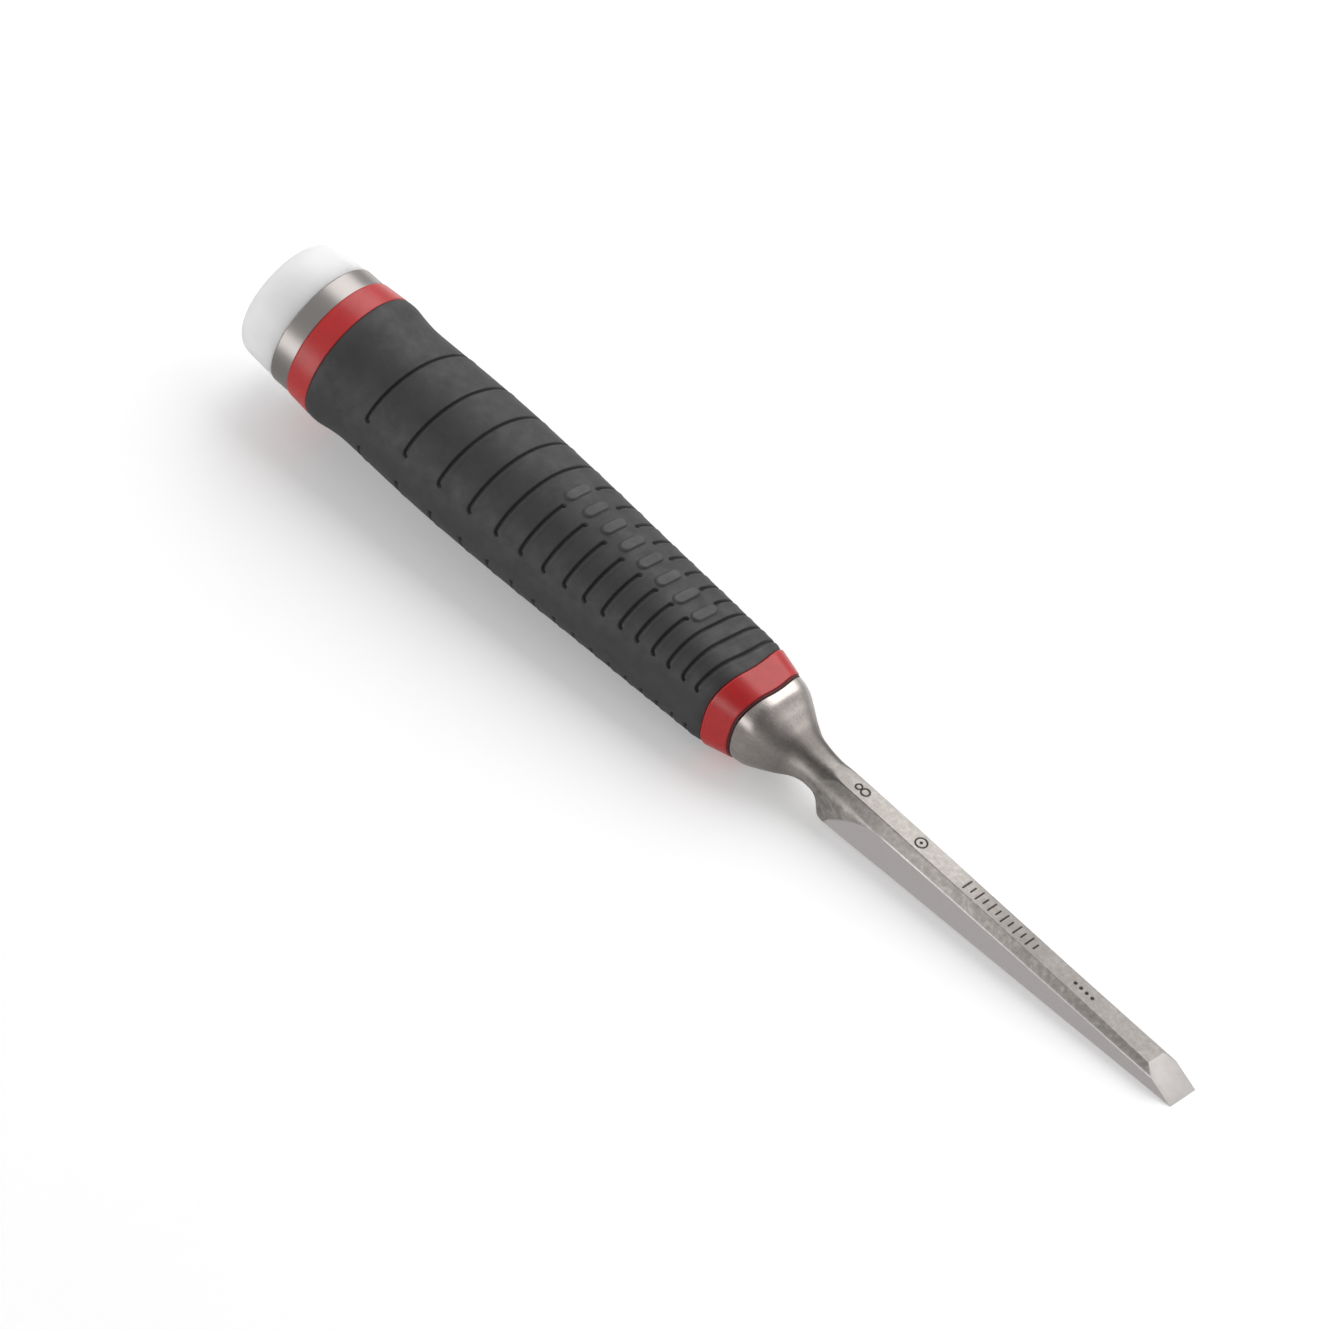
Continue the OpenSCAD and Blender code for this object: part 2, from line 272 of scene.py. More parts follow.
def build_strike_cap():
    """White cap: flat strike face, rounded rim, slightly flared side, and the skirt inside the hoop."""
    profile = [
        (0, 0), (0, CAP_RADIUS - CAP_DRAFT), (HOOP_START, CAP_RADIUS), (HOOP_START, SKIRT_RADIUS),
        (SPIGOT_START, SKIRT_RADIUS), (SPIGOT_START, PLATE_RADIUS), (PLATE_START, PLATE_RADIUS),
        (PLATE_START, 0),
    ]
    outline = rounded(profile, [CAP_RIM, 0.35, 0.1, 0.1, 0.1, 0.1], steps=10)
    rings = [section_ring(x, r, 1.0, 160) for x, r in outline]
    return loft("strike_cap_moulded", rings)


def build_strike_hoop():
    """Steel hoop with small turned chamfers on its outer edges."""
    inner = SKIRT_RADIUS
    profile = [
        ((HOOP_START + HOOP_END) / 2, inner), (HOOP_START, inner), (HOOP_START, HOOP_RADIUS),
        (HOOP_END, HOOP_RADIUS), (HOOP_END, inner), ((HOOP_START + HOOP_END) / 2, inner),
    ]
    outline = rounded(profile, [0.1, 0.28, 0.28, 0.1])
    rings = [section_ring(x, r, 1.0, 160) for x, r in outline[:-1]]
    return loft("strike_hoop_turned", rings, closed=True)


# ---------------------------------------------------------------- handle


def build_handle_core():
    """Red core: spigot under the hoop, rear band, body inside the sleeve and the squared front band."""
    columns = 192
    rear_edge = HOOP_RADIUS + 0.2
    rear_end = float(grip_half(GRIP_START)) + 0.02
    body_xs = np.linspace(GRIP_START, GRIP_END, 24)
    front_half = float(grip_half(GRIP_END)) + BAND_PROUD
    band = rounded(
        [
            (SPIGOT_START, POCKET_RADIUS), (SPIGOT_START, SKIRT_RADIUS), (HOOP_END, SKIRT_RADIUS),
            (HOOP_END, rear_edge), (GRIP_START, rear_end), (GRIP_START, rear_end - SLEEVE_WALL),
        ],
        [0.1, 0.05, 0.3, 0.3],
    )
    rings = [section_ring(x, r, 1.0, columns) for x, r in band]
    for x in body_xs[1:-1]:
        rings.append(section_ring(x, float(grip_half(x)) - SLEEVE_WALL, float(grip_roundness(x)), columns))
    front = rounded(
        [
            (GRIP_END, front_half - SLEEVE_WALL), (GRIP_END, front_half), (BAND_END, BAND_FRONT_HALF),
            (BAND_END, TANG_RADIUS + 1),
        ],
        [0.4, 0.35],
    )
    rings += [section_ring(x, r, float(grip_roundness(x)), columns, EDGE_WAVE) for x, r in front]
    bore = [(BAND_END, TANG_RADIUS), (POCKET_END, TANG_RADIUS), (POCKET_END, POCKET_RADIUS)]
    rings += [section_ring(x, r, 1.0, columns) for x, r in bore]
    return loft("handle_core_moulded", rings, closed=True)


def groove_x(k):
    """Place of groove k: the spacing closes up towards the blade."""
    return GROOVE_FIRST + GROOVE_CLOSE * k + GROOVE_SPREAD * (1 - GROOVE_RATIO**k) / (1 - GROOVE_RATIO)


GROOVES = [groove_x(k) for k in range(GROOVE_COUNT)]
INDEX_BARS = [INDEX_FIRST + INDEX_PITCH * k for k in range(INDEX_COUNT)]


def path_distance(s, x, path):
    """Distance from each point (s, x) of a grid to an open path."""
    best = np.full(s.shape, 1e9)
    for (s0, x0), (s1, x1) in zip(path, path[1:]):
        ds, dx = s1 - s0, x1 - x0
        t = np.clip(((s - s0) * ds + (x - x0) * dx) / (ds * ds + dx * dx), 0, 1)
        best = np.minimum(best, np.hypot(s - s0 - t * ds, x - x0 - t * dx))
    return best


def groove_path(k, radius):
    """Path of half a groove on the unrolled panel: straight round the grip, with its ends hooked forward."""
    x = GROOVES[k]
    hook = [(math.sin(a), 1 - math.cos(a)) for a in np.radians([0, 25, 50, 75])]
    reach = GROOVE_REACH_REAR + (GROOVE_REACH_FRONT - GROOVE_REACH_REAR) * smooth_step(75, 125, x)
    end = radius * float(reach) - GROOVE_HOOK
    path = [(end + GROOVE_HOOK * a, x + GROOVE_HOOK * b) for a, b in hook]
    interrupted = INDEX_BARS[0] - INDEX_PITCH / 2 < x < INDEX_BARS[-1] + INDEX_PITCH / 2
    if not interrupted:
        return [(0, x)] + path
    small = 0.5 * GROOVE_HOOK
    start = radius * INDEX_GAP + small
    return [(start - small * a, x + small * b) for a, b in reversed(hook)] + path


def sleeve_rows():
    """Places of the sleeve's rings: close together at the grooves and the bars, wider elsewhere."""
    rows = list(np.arange(GRIP_START + 0.9, GRIP_END - 0.6, 0.9))
    for x in GROOVES:
        rows += list(x + np.arange(-0.75, 1.65, 0.14))
    rows += list(np.arange(INDEX_BARS[0] - 2, INDEX_BARS[-1] + 2, 0.2))
    rows.sort()
    kept = [rows[0]]
    for x in rows[1:]:
        if x - kept[-1] > 0.1:
            kept.append(x)
    return np.array(kept)


def sleeve_relief(x, angle, half):
    """Height of the grooves, ribs and bars over the sleeve's plain form, and where the bars stand."""
    top = np.abs(np.angle(np.exp(1j * (angle - math.pi / 2))))
    bottom = math.pi - top
    relief = np.zeros(x.shape)
    for k, place in enumerate(GROOVES):
        rows = np.flatnonzero(np.abs(x[:, 0] - place - 0.5) < 2.2)
        block = slice(rows[0], rows[-1] + 1)
        radius = float(grip_half(place))
        path = groove_path(k, radius)
        for side in (top, bottom):
            s = side[block] * radius
            d = path_distance(s, x[block], path)
            cut = 1 - smooth_step(0.1, GROOVE_HALF_WIDTH + 0.1, d)
            ahead = x[block] - place
            lip = np.exp(-(((ahead - 0.95) / 0.55) ** 2)) * (1 - smooth_step(radius, radius * 1.25, s))
            relief[block] += 0.1 * lip - GROOVE_DEPTH * cut
    across = top * half
    raised = np.zeros(x.shape)
    for place in INDEX_BARS:
        straight = (INDEX_SPAN - INDEX_WIDTH) / 2
        edge = np.hypot(x - place, np.maximum(across - straight, 0)) - INDEX_WIDTH / 2
        raised = np.maximum(raised, 1 - smooth_step(-0.32, 0.12, edge))
    return relief + INDEX_HEIGHT * raised, raised


def build_grip_sleeve():
    """Black overmould: a tube wall with the grooves, ribs and raised bars in its outer surface."""
    columns = 360
    xs = sleeve_rows()
    angle = np.arange(columns) * FULL_TURN / columns
    station, grid_a = np.meshgrid(xs, angle, indexing="ij")
    half = grip_half(station)
    lean = groove_lean(station) * (1 - smooth_step(GRIP_END - 2.6, GRIP_END, station))
    wave = EDGE_WAVE * smooth_step(GRIP_END - 9, GRIP_END, station)
    grid_x = station + lean * half * np.cos(grid_a) - wave * np.cos(2 * grid_a)
    half = grip_half(grid_x)
    radius = squared_radius(half, half * grip_roundness(grid_x), grid_a)
    relief, raised = sleeve_relief(station, grid_a, half)
    radius = radius + relief
    outer = np.stack([grid_x, radius * np.cos(grid_a), radius * np.sin(grid_a)], axis=2)

    def edge(x, x_lip, drop):
        edge_wave = EDGE_WAVE if x == GRIP_END else 0.0
        return section_ring(x_lip, float(grip_half(x)) - drop, float(grip_roundness(x)), columns, edge_wave)

    rear_lip = ((0, SLEEVE_WALL), (0, 0.3), (0.08, 0.1), (0.3, 0))
    front_lip = ((0.35, 0.02), (0.1, 0.16), (0, 0.4), (0, SLEEVE_WALL))
    start = [edge(GRIP_START, GRIP_START + inset, drop) for inset, drop in rear_lip]
    end = [edge(GRIP_END, GRIP_END - inset, drop) for inset, drop in front_lip]
    inner = [
        section_ring(x, float(grip_half(x)) - SLEEVE_WALL, float(grip_roundness(x)), columns)
        for x in np.linspace(GRIP_END, GRIP_START, 24)[1:-1]
    ]
    piece = loft("grip_sleeve_moulded", start + list(outer) + end + inner, closed=True, sharp_angle=60)
    values = np.zeros(len(piece.data.vertices), np.float32)
    first = len(start) * columns
    values[first:first + raised.size] = raised.ravel()
    piece.data.attributes.new("raised", "FLOAT", "POINT").data.foreach_set("value", values)
    return piece


def build_bolster_washer():
    """Washer between the front band and the bolster, coloured dark as painted shade so that it shows as the
    thin shadow line between them.
    """
    columns = 128
    roundness = float(grip_roundness(BAND_END))
    outline = rounded(
        [
            (BAND_END, TANG_RADIUS), (BAND_END, WASHER_HALF), (BOLSTER_START, WASHER_HALF),
            (BOLSTER_START, TANG_RADIUS),
        ],
        [0.15, 0.15],
    )
    rings = []
    for x, r in outline:
        ring_roundness = roundness if r > TANG_RADIUS + 1 else 1.0
        rings.append(section_ring(x, r, ring_roundness, columns, EDGE_WAVE))
    return loft("bolster_washer_moulded", rings, closed=True)


# ---------------------------------------------------------------- blade forging

# Height of the forging's top along the bolster, the neck and the blade.
forging_top = smooth_curve([
    [BOLSTER_START, 10.0], [BOLSTER_START + 3, 9.3], [BOLSTER_START + 6, 7.3], [BOLSTER_START + 9, 5.3],
    [BOLSTER_START + 13, 3.8], [NECK_END, 3.15], [170, 3.12], [178, 3.05], [192, 2.8], [210, 2.38],
    [230, 1.93], [246, 1.48], [258, 0.98], [266, 0.58], [280, 0.1],
])
# Half width of the forging before it is ground.
forging_half = smooth_curve([
    [BOLSTER_START, 10.0], [BOLSTER_START + 3, 9.5], [BOLSTER_START + 6, 8.4], [BOLSTER_START + 9, 7.0],
    [BOLSTER_START + 13, 5.2], [NECK_END, 4.4], [170, 4.3], [178, 4.25], [186, 4.05], [190, BLADE_HALF],
    [280, BLADE_HALF],
])
# Height of the edge between the ground side and the slanted face above it.
side_edge = smooth_curve([[164, -0.3], [180, -0.1], [200, -0.12], [230, -0.3], [262, -0.55], [280, -0.6]])
# Rounding of the forging's lower corners, upper corners and sides.
lower_rounding = smooth_curve([
    [BOLSTER_START, 6.8], [BOLSTER_START + 6, 6.0], [BOLSTER_START + 13, 3.6], [NECK_END, 2.4],
    [169, 1.2], [172, 0.5], [178, 0.18], [280, 0.18],
])
upper_rounding = smooth_curve([
    [BOLSTER_START, 6.8], [BOLSTER_START + 6, 6.2], [BOLSTER_START + 13, 4.8], [NECK_END, 4.2],
    [168, 3.6], [170, 1.6], [172, 0.5], [178, 0.3], [280, 0.22],
])
side_rounding = smooth_curve([
    [BOLSTER_START, 0.5], [NECK_END - 4, 2.0], [NECK_END, 5.0], [174, 6.0], [180, 3.0], [186, 0.4],
    [280, 0.2],
])


def back_z(x):
    """Height of the ground back."""
    return EDGE_Z - BACK_SLOPE * (TIP - x)


def underside():
    """Side outline of the neck's underside, the heel and the ground back, as points [x, z]."""
    xs = np.linspace(BOLSTER_START, NECK_END - 1.5, 30)
    neck = smooth_curve([
        [BOLSTER_START, -10.0], [BOLSTER_START + 3, -9.72], [BOLSTER_START + 6, -8.75],
        [BOLSTER_START + 9, -7.55], [BOLSTER_START + 13, -5.5], [NECK_END - 1.5, -4.62], [NECK_END, -4.55],
    ])
    heel = rounded(
        [
            (NECK_END - 1.5, -4.62), (NECK_END + 2.5, -4.6), (NECK_END + 4.5, back_z(NECK_END + 4.5)),
            (TIP + 1, back_z(TIP + 1)),
        ],
        [3.2, 1.5],
        steps=10,
    )
    return np.array([[x, float(neck(x))] for x in xs] + [list(p) for p in heel[1:]])


UNDERSIDE = underside()


def forging_section(x):
    """Right half of the forging's section at x, from the middle of its underside to the middle of its top."""
    low = float(np.interp(x, UNDERSIDE[:, 0], UNDERSIDE[:, 1]))
    top = float(forging_top(x))
    half = float(forging_half(x))
    shaped = float(smooth_step(NECK_END - 3, NECK_END + 6, x))
    side_z = (1 - shaped) * (low + top) / 2 + shaped * float(side_edge(x))
    top_half = (1 - shaped) * half + shaped * TOP_HALF
    corners = [(0, low), (half, low), (half, side_z), (top_half, top), (0, top)]
    return rounded_section(corners, [float(f(x)) for f in (lower_rounding, side_rounding, upper_rounding)])


# Points on each flat of the forging's section, with those of the second and third close to their ends.
FLAT_STEPS = (4, 26, 9, 18)
ARC_STEPS = 7


def arm_directions(before, corner, after):
    """Unit vectors from a corner towards its two neighbours."""
    u, v = before - corner, after - corner
    return u / np.linalg.norm(u), v / np.linalg.norm(v)


def rounded_section(corners, radii):
    """Outline with rounded corners and a fixed number of points on each flat, so that sections match."""
    points = [np.array(p, float) for p in corners]
    reach = [np.linalg.norm(b - a) for a, b in zip(points, points[1:])]
    inner = list(zip(points, points[1:], points[2:]))
    halves = []
    for before, corner, after in inner:
        u, v = arm_directions(before, corner, after)
        halves.append(max(math.acos(np.clip(u @ v, -1, 1)) / 2, 0.05))
    tangents = [max(r / math.tan(h), 0.02) for r, h in zip(radii, halves)]
    tangents[0] = min(tangents[0], 0.96 * reach[0])
    tangents[-1] = min(tangents[-1], 0.96 * reach[-1])
    for k in range(len(tangents) - 1):
        over = (tangents[k] + tangents[k + 1]) / (0.98 * reach[k + 1])
        if over > 1:
            tangents[k], tangents[k + 1] = tangents[k] / over, tangents[k + 1] / over
    arcs = []
    for (before, corner, after), tangent, half in zip(inner, tangents, halves):
        u, v = arm_directions(before, corner, after)
        steps = np.linspace(0, 1, ARC_STEPS + 1)
        if half > math.radians(89.5):
            arcs.append([corner + u * tangent * (1 - t) + v * tangent * t for t in steps])
            continue
        centre = corner + (u + v) / np.linalg.norm(u + v) * tangent / math.cos(half)
        start, end = corner + u * tangent - centre, corner + v * tangent - centre
        sweep = math.pi - 2 * half
        arms = [math.sin((1 - t) * sweep) * start + math.sin(t * sweep) * end for t in steps]
        arcs.append([centre + arm / math.sin(sweep) for arm in arms])
    out = []
    ends = [points[0]] + [p for arc in arcs for p in (arc[0], arc[-1])] + [points[-1]]
    for flat, count in enumerate(FLAT_STEPS):
        a, b = ends[2 * flat], ends[2 * flat + 1]
        shares = np.linspace(0, 1, count + 1)[:-1]
        if flat in (1, 2):
            shares = (1 - np.cos(math.pi * shares)) / 2
        out += [a + (b - a) * t for t in shares]
        if flat < len(arcs):
            out += arcs[flat][:-1]
    out.append(points[-1])
    return np.array(out)


def stroke_marks():
    """Engraved marks on the blade's top face, as (distance function, first x, last x) in (x, y)."""

    def numeral(x, y):
        back = np.abs(np.hypot((x - NUMERAL_X + 1.0) / 0.95, y) - 0.78)
        front = np.abs(np.hypot((x - NUMERAL_X - 0.95) / 0.98, y) - 1.02)
        return np.minimum(back, front)

    def target(x, y):
        reach = np.hypot(x - TARGET_X, y)
        return np.minimum(np.abs(reach - 1.35), reach - 0.2)

    def ticks(x, y):
        k = np.clip(np.round((x - TICKS_X) / TICK_PITCH), 0, TICK_COUNT - 1)
        length = np.where(k % 2 == 0, 1.35, 0.8)
        return np.hypot(x - TICKS_X - k * TICK_PITCH, np.maximum(np.abs(y) - length, 0))

    def dots(x, y):
        k = np.clip(np.round((x - DOTS_X) / DOT_PITCH), 0, DOT_COUNT - 1)
        return np.hypot(x - DOTS_X - k * DOT_PITCH, y) - 0.25

    return [
        (numeral, NUMERAL_X - 2.5, NUMERAL_X + 2.7), (target, TARGET_X - 1.8, TARGET_X + 1.8),
        (ticks, TICKS_X - 0.7, TICKS_X + 21.6), (dots, DOTS_X - 1, DOTS_X + 6),
    ]


def forging_rows():
    """Places of the forging's rings: close where the form turns or is engraved."""
    rows = list(np.arange(BOLSTER_START + 0.4, 164, 0.35))
    rows += list(np.arange(164, 186, 0.16))
    rows += list(np.arange(186, TIP, 0.9))
    for _, low, high in stroke_marks():
        rows += list(np.arange(low, high, 0.11))
    rows.sort()
    kept = [rows[0]]
    for x in rows[1:]:
        if x - kept[-1] > 0.08:
            kept.append(x)
    return kept + [TIP + 0.3]


def ground_runout(z):
    """Where the ground side begins at height z: it runs out in a curve at the root."""
    return np.interp(z, [-9.5, -7.1, -3.8, -2.2, -0.4, 0.0], [171.2, 172.5, 176.3, 178.6, 182.1, 186.0])


def build_blade_forging():
    """Bolster, neck and blade lofted as one skin, ground flat, engraved and cut to its edge."""
    rows = forging_rows()
    rings = []
    for x in rows:
        right = forging_section(x)
        left = right[-2:0:-1] * np.array([-1, 1])
        outline = np.concatenate([right, left])
        rings.append(np.column_stack([np.full(len(outline), x), outline]))
    rings = np.array(rings)
    x, y, z = np.moveaxis(rings, 2, 0).copy()
    ground = smooth_step(-0.25, 0.25, x - ground_runout(z)) * (x > GROUND_FROM)
    limit = np.where(x > GROUND_FROM, BLADE_HALF + (1 - ground) * 0.3, np.inf)
    y = np.clip(y, -limit, limit)
    rings[:, :, 1] = y

    on_back = (z < back_z(x) + 0.05) * (x > BACK_FROM)
    ground = np.maximum(ground * (np.abs(y) > BLADE_HALF - 0.03), on_back)
    # Painted highlight: a narrow band along the rounded edge between the ground side and the slanted face,
    # from x = 184 on, that the blade's shader makes bright.
    near_edge = np.exp(-(((z - side_edge(x)) / 0.16) ** 2))
    edge_highlight = near_edge * (np.abs(y) > BLADE_HALF - 0.3) * smooth_step(184, 190, x)
    mark = np.zeros(x.shape)
    on_top = (z > forging_top(x) - 0.02) & (np.abs(y) < 2.3)
    for distance, low, high in stroke_marks():
        inside = on_top & (x > low - 0.4) & (x < high + 0.4)
        mark = np.maximum(mark, inside * (1 - smooth_step(0.08, 0.26, distance(x, y))))
    rings[:, :, 2] -= MARK_DEPTH * mark

    columns = rings.shape[1]
    first = rings[0].copy()
    first[:, 0] = BOLSTER_START
    first[:, 1:] *= 0.975
    for ring in [first] + [r for r in rings if r[0, 0] < BOLSTER_START + 5]:
        share = 1 - smooth_step(BOLSTER_START, BOLSTER_START + 5, ring[:, 0])
        ring[:, 0] -= EDGE_WAVE * share * np.cos(2 * np.arctan2(ring[:, 2], ring[:, 1]))
    tang = [
        circle_like(first, BOLSTER_START, TANG_RADIUS), circle_like(first, POCKET_END + 3, TANG_RADIUS),
        circle_like(first, POCKET_END + 3, THREAD_RADIUS), circle_like(first, SPIGOT_START, THREAD_RADIUS),
        circle_like(first, SPIGOT_START, 0),
    ]
    end = rings[-1].copy()
    end[:, 1:] = (0, -2)
    everything = np.array(tang[::-1] + [first] + list(rings) + [end])
    vertices = everything.reshape(-1, 3)
    first_row = len(tang) + 1
    layers = {}
    for name, values in (("mark", mark), ("ground", ground), ("edge_highlight", edge_highlight)):
        layer = np.zeros(everything.shape[:2], np.float32)
        layer[first_row:first_row + len(rows)] = values
        layers[name] = layer.ravel()
    return cut_forging(vertices, ring_faces(len(everything), columns, False), layers)


def circle_like(ring, x, radius):
    """Ring at x on a circle, with its points in the directions of another ring's points."""
    angle = np.arctan2(ring[:, 2], ring[:, 1])
    return np.stack([np.full(len(ring), x), radius * np.cos(angle), radius * np.sin(angle)], axis=1)


def cut_forging(vertices, faces, layers):
    """Cuts the loft along the cutting bevel, and keeps the named values of its points."""
    mesh = bpy.data.meshes.new("blade_forging_ground")
    mesh.from_pydata((vertices * MM).tolist(), [], faces)
    for name, values in layers.items():
        mesh.attributes.new(name, "FLOAT", "POINT").data.foreach_set("value", values)
    work = bmesh.new()
    work.from_mesh(mesh)
    bmesh.ops.remove_doubles(work, verts=work.verts, dist=1e-7)
    normal = Vector((math.sin(BEVEL_ANGLE), 0, math.cos(BEVEL_ANGLE)))
    edge = Vector((TIP, 0, EDGE_Z)) * MM
    cut = bmesh.ops.bisect_plane(
        work, geom=work.verts[:] + work.edges[:] + work.faces[:], plane_co=edge, plane_no=normal,
        clear_outer=True,
    )
    rim = [e for e in cut["geom_cut"] if isinstance(e, bmesh.types.BMEdge)]
    bmesh.ops.holes_fill(work, edges=rim, sides=0)
    bmesh.ops.recalc_face_normals(work, faces=work.faces)
    work.to_mesh(mesh)
    work.free()
    mesh.shade_smooth()
    mesh.set_sharp_from_angle(angle=math.radians(32))
    piece = bpy.data.objects.new("blade_forging_ground", mesh)
    bpy.context.scene.collection.objects.link(piece)
    return piece


def sort_forging_faces(piece):
    """Gives the cutting bevel its own material."""
    bevel_normal = Vector((math.sin(BEVEL_ANGLE), 0, math.cos(BEVEL_ANGLE)))
    for face in piece.data.polygons:
        on_bevel = face.center.x / MM > TIP - BEVEL_REACH and face.normal.dot(bevel_normal) > 0.999
        face.material_index = 1 if on_bevel else 0


# ---------------------------------------------------------------- materials


class Shader:
    """A material's node tree, with short calls for the nodes that the materials here share."""

    def __init__(self, name):
        self.material = bpy.data.materials.new(name)
        self.material.use_nodes = True
        self.tree = self.material.node_tree
        self.bsdf = self.tree.nodes["Principled BSDF"]
        where = self.tree.nodes.new("ShaderNodeTexCoord")
        self.place = self.node("ShaderNodeVectorMath", operation="SCALE")
        self.link(where.outputs["Object"], self.place.inputs[0])
        self.place.inputs["Scale"].default_value = 1 / MM
        self.mm = self.place.outputs[0]

    def node(self, kind, **settings):
        made = self.tree.nodes.new(kind)
        for key, value in settings.items():
            setattr(made, key, value)
        return made

    def link(self, source, target):
        self.tree.links.new(source, target)

    def set(self, **values):
        for key, value in values.items():
            self.bsdf.inputs[key.replace("_", " ")].default_value = value

    def stretched(self, scale):
        made = self.node("ShaderNodeVectorMath", operation="MULTIPLY")
        self.link(self.mm, made.inputs[0])
        made.inputs[1].default_value = scale
        return made.outputs[0]

    def noise(self, scale, detail=3.0, roughness=0.55, vector=None):
        made = self.node("ShaderNodeTexNoise")
        self.link(vector or self.mm, made.inputs["Vector"])
        made.inputs["Scale"].default_value = scale
        made.inputs["Detail"].default_value = detail
        made.inputs["Roughness"].default_value = roughness
        return made.outputs["Fac"]

    def ramp(self, source, stops):
        made = self.node("ShaderNodeValToRGB")
        self.link(source, made.inputs["Fac"])
        elements = made.color_ramp.elements
        while len(elements) < len(stops):
            elements.new(0.5)
        for element, (place, colour) in zip(elements, stops):
            element.position = place
            element.color = (*colour, 1)
        return made.outputs["Color"]

    def grey(self, source, low, high, start=0.3, end=0.7):
        """Value that goes from low to high while the source goes from start to end."""
        made = self.node("ShaderNodeMapRange")
        self.link(source, made.inputs["Value"])
        made.inputs["From Min"].default_value = start
        made.inputs["From Max"].default_value = end
        made.inputs["To Min"].default_value = low
        made.inputs["To Max"].default_value = high
        return made.outputs["Result"]

    def along(self, source, stations):
        """Value that goes straight from station to station, given as (place, value) pairs."""
        low, high = stations[0][0], stations[-1][0]
        share = self.grey(source, 0, 1, low, high)
        return self.ramp(share, [((place - low) / (high - low), (value,) * 3) for place, value in stations])

    def mix(self, factor, a, b):
        """Mixes two colours. Each input is a node's output or a plain value."""
        made = self.node("ShaderNodeMix", data_type="RGBA")
        ends = [(*c, 1) if isinstance(c, tuple) else c for c in (a, b)]
        colours = [i for i in made.inputs if i.type == "RGBA"]
        self.fill([made.inputs["Factor"]] + colours, [factor] + ends)
        return [o for o in made.outputs if o.type == "RGBA"][0]

    def scaled(self, colour, amount):
        made = self.node("ShaderNodeVectorMath", operation="SCALE")
        self.link(colour, made.inputs[0])
        self.link(amount, made.inputs["Scale"])
        return made.outputs[0]

    def split(self, vector, axis):
        made = self.node("ShaderNodeSeparateXYZ")
        self.link(vector, made.inputs[0])
        return made.outputs[axis]

    def math(self, operation, *values):
        made = self.node("ShaderNodeMath", operation=operation)
        self.fill(made.inputs, values)
        return made.outputs[0]

    def mixed(self, factor, a, b):
        """Mixes two plain numbers, given as numbers or as nodes' outputs."""
        made = self.node("ShaderNodeMix", data_type="FLOAT")
        self.fill([i for i in made.inputs if i.type == "VALUE"], (factor, a, b))
        return [o for o in made.outputs if o.type == "VALUE"][0]

    def fill(self, inputs, values):
        for target, value in zip(inputs, values):
            if isinstance(value, (int, float, tuple)):
                target.default_value = value
            else:
                self.link(value, target)

    def attribute(self, name):
        made = self.node("ShaderNodeAttribute", attribute_name=name)
        return made.outputs["Fac"]

    def bump(self, heights):
        """Chains a bump for each (height, strength, distance in millimetres)."""
        normal = None
        for source, strength, distance in heights:
            made = self.node("ShaderNodeBump")
            made.inputs["Strength"].default_value = strength
            made.inputs["Distance"].default_value = distance * MM
            self.link(source, made.inputs["Height"])
            if normal is not None:
                self.link(normal, made.inputs["Normal"])
            normal = made.outputs["Normal"]
        self.link(normal, self.bsdf.inputs["Normal"])

    def colour(self, source):
        self.link(source, self.bsdf.inputs["Base Color"])

    def rough(self, source):
        self.link(source, self.bsdf.inputs["Roughness"])


def white_nylon():
    s = Shader("white_nylon")
    s.colour(s.ramp(s.noise(0.12, 2), [(0.35, (0.89, 0.89, 0.895)), (0.65, (0.93, 0.93, 0.935))]))
    s.rough(s.grey(s.noise(1.4, 4), 0.30, 0.42))
    s.set(Subsurface_Weight=0.85, Subsurface_Radius=(0.009, 0.009, 0.009), Subsurface_Scale=1.0)
    s.bump([(s.noise(2.2, 4), 0.25, 0.03)])
    return s.material


def hoop_steel():
    s = Shader("hoop_steel")
    turned = s.noise(1.0, 5, 0.7, s.stretched((14, 0.25, 0.25)))
    s.colour(s.ramp(turned, [(0.3, (0.325, 0.30, 0.287)), (0.7, (0.385, 0.36, 0.345))]))
    s.rough(s.grey(turned, 0.29, 0.36))
    s.set(Metallic=1.0)
    s.bump([(turned, 0.2, 0.015), (s.noise(2.5, 3), 0.2, 0.02)])
    return s.material


def zinc_steel():
    s = Shader("zinc_steel")
    s.colour(s.ramp(s.noise(0.6, 4), [(0.3, (0.42, 0.42, 0.45)), (0.7, (0.56, 0.56, 0.58))]))
    s.rough(s.grey(s.noise(2.5, 3), 0.28, 0.42))
    s.set(Metallic=1.0)
    s.bump([(s.noise(3.0, 4), 0.2, 0.02)])
    return s.material


def red_plastic():
    s = Shader("red_plastic")
    s.colour(s.ramp(s.noise(0.35, 4), [(0.3, (0.47, 0.007, 0.008)), (0.7, (0.55, 0.011, 0.012))]))
    s.rough(s.grey(s.noise(1.6, 4), 0.28, 0.40))
    s.set(Specular_IOR_Level=0.68)
    s.bump([(s.noise(4.5, 3), 0.35, 0.03), (s.noise(0.6, 2), 0.2, 0.06)])
    return s.material


def black_grip():
    s = Shader("black_grip")
    clouds = s.noise(0.14, 5, 0.6)
    patches = s.ramp(clouds, [(0.3, (0.007, 0.007, 0.0072)), (0.72, (0.0155, 0.0155, 0.0158))])
    s.colour(s.mix(s.attribute("raised"), patches, (0.040, 0.040, 0.0405)))
    s.rough(s.grey(s.noise(0.3, 5, 0.6), 0.60, 0.74))
    s.set(Specular_IOR_Level=1.0)
    s.bump([(s.noise(7.0, 3), 0.4, 0.05), (s.noise(1.1, 4), 0.25, 0.06), (clouds, 0.15, 0.5)])
    return s.material


